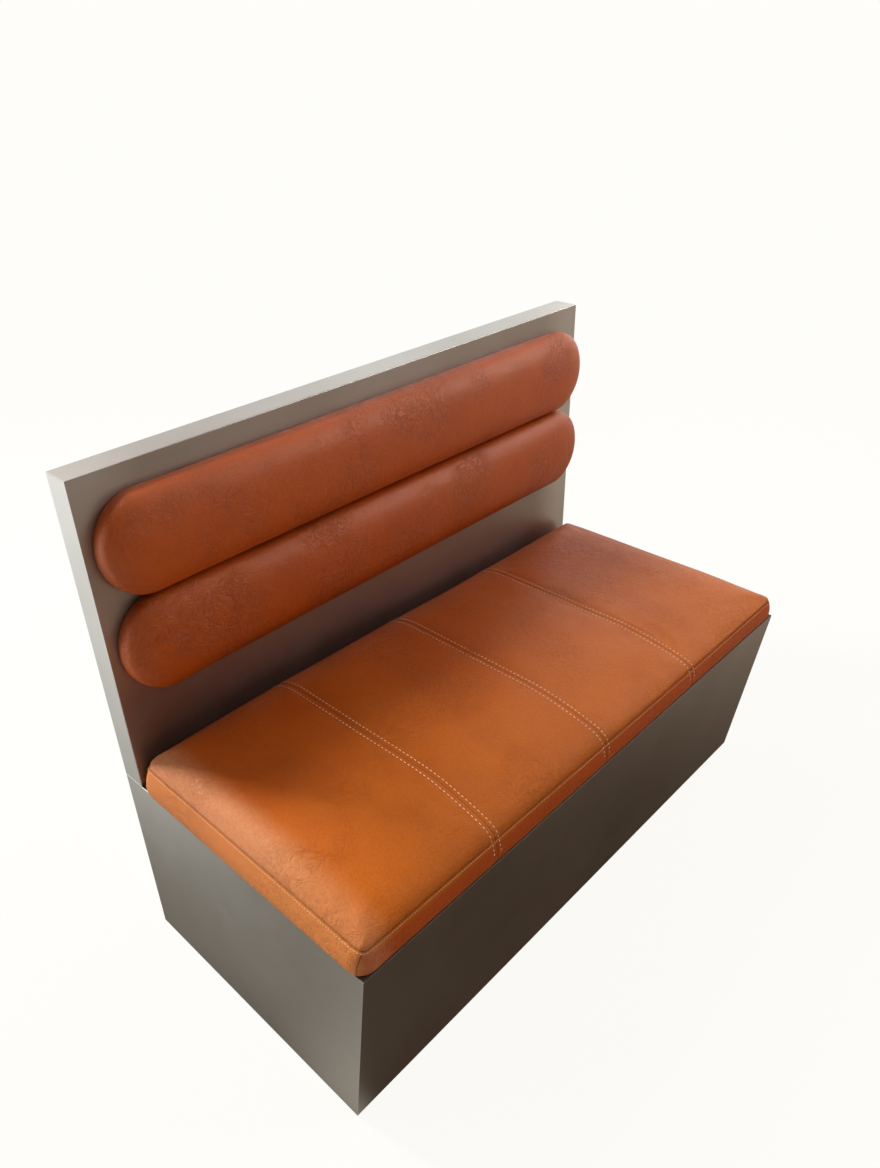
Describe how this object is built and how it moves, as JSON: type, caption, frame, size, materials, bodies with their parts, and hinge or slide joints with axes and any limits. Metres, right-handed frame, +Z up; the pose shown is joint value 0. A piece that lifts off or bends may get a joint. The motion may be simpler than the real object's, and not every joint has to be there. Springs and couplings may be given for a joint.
{
  "type": "restaurant booth seating",
  "caption": "Single restaurant booth: steel-clad box plinth, raked slab back with two padded rolls, and a lift-out faux leather seat cushion with stitched cross seams.",
  "frame": {"origin": "on the floor at the middle of the booth's bounding box", "axes": "+X along the width, to the right as seen from the front, -Y is the front, +Y towards the back, +Z up"},
  "size_m": [1.265, 0.6286, 0.9],
  "materials": {
    "satin_steel": "satin, taupe grey",
    "faux_leather": "semi-matt, orange-brown",
    "foam": "open-cell foam",
    "painted_steel": "satin black",
    "plated_steel": "zinc plated",
    "nylon": "matt",
    "plywood": "raw",
    "softwood": "raw"
  },
  "bodies": {
    "base": {"base_front_sheet": "satin_steel", "base_rear_sheet": "satin_steel", "base_left_sheet": "satin_steel", "base_right_sheet": "satin_steel", "base_front_board": "plywood", "base_rear_board": "plywood", "base_left_board": "plywood", "base_right_board": "plywood", "base_left_rib": "plywood", "base_right_rib": "plywood", "base_left_front_post": "softwood", "base_right_front_post": "softwood", "base_front_floor_rail": "softwood", "base_rear_floor_rail": "softwood", "floor_glides": "nylon", "floor_glide_screws": "plated_steel", "back_left_upright": "painted_steel", "back_right_upright": "painted_steel", "back_left_stile": "softwood", "back_right_stile": "softwood", "back_bottom_rail": "softwood", "back_middle_rail": "softwood", "back_top_rail": "softwood", "back_rear_sheet": "satin_steel", "back_face_board": "plywood", "back_face_tray": "satin_steel", "lower_roll_cover": "faux_leather", "lower_roll_foam": "foam", "lower_roll_board": "plywood", "upper_roll_cover": "faux_leather", "upper_roll_foam": "foam", "upper_roll_board": "plywood", "roll_screws": "plated_steel", "upright_bolts": "plated_steel", "upright_washers": "plated_steel", "upright_nuts": "plated_steel"},
    "seat": {"seat_cover": "faux_leather", "seat_foam": "foam", "seat_board": "plywood", "seat_left_batten": "softwood", "seat_right_batten": "softwood", "seat_batten_screws": "plated_steel"}
  },
  "joints": [
    {"name": "seat_lift", "type": "slide", "parent": "base", "child": "seat", "axis": [0, 0, 1], "range_m": [0, 0.09]}
  ]
}
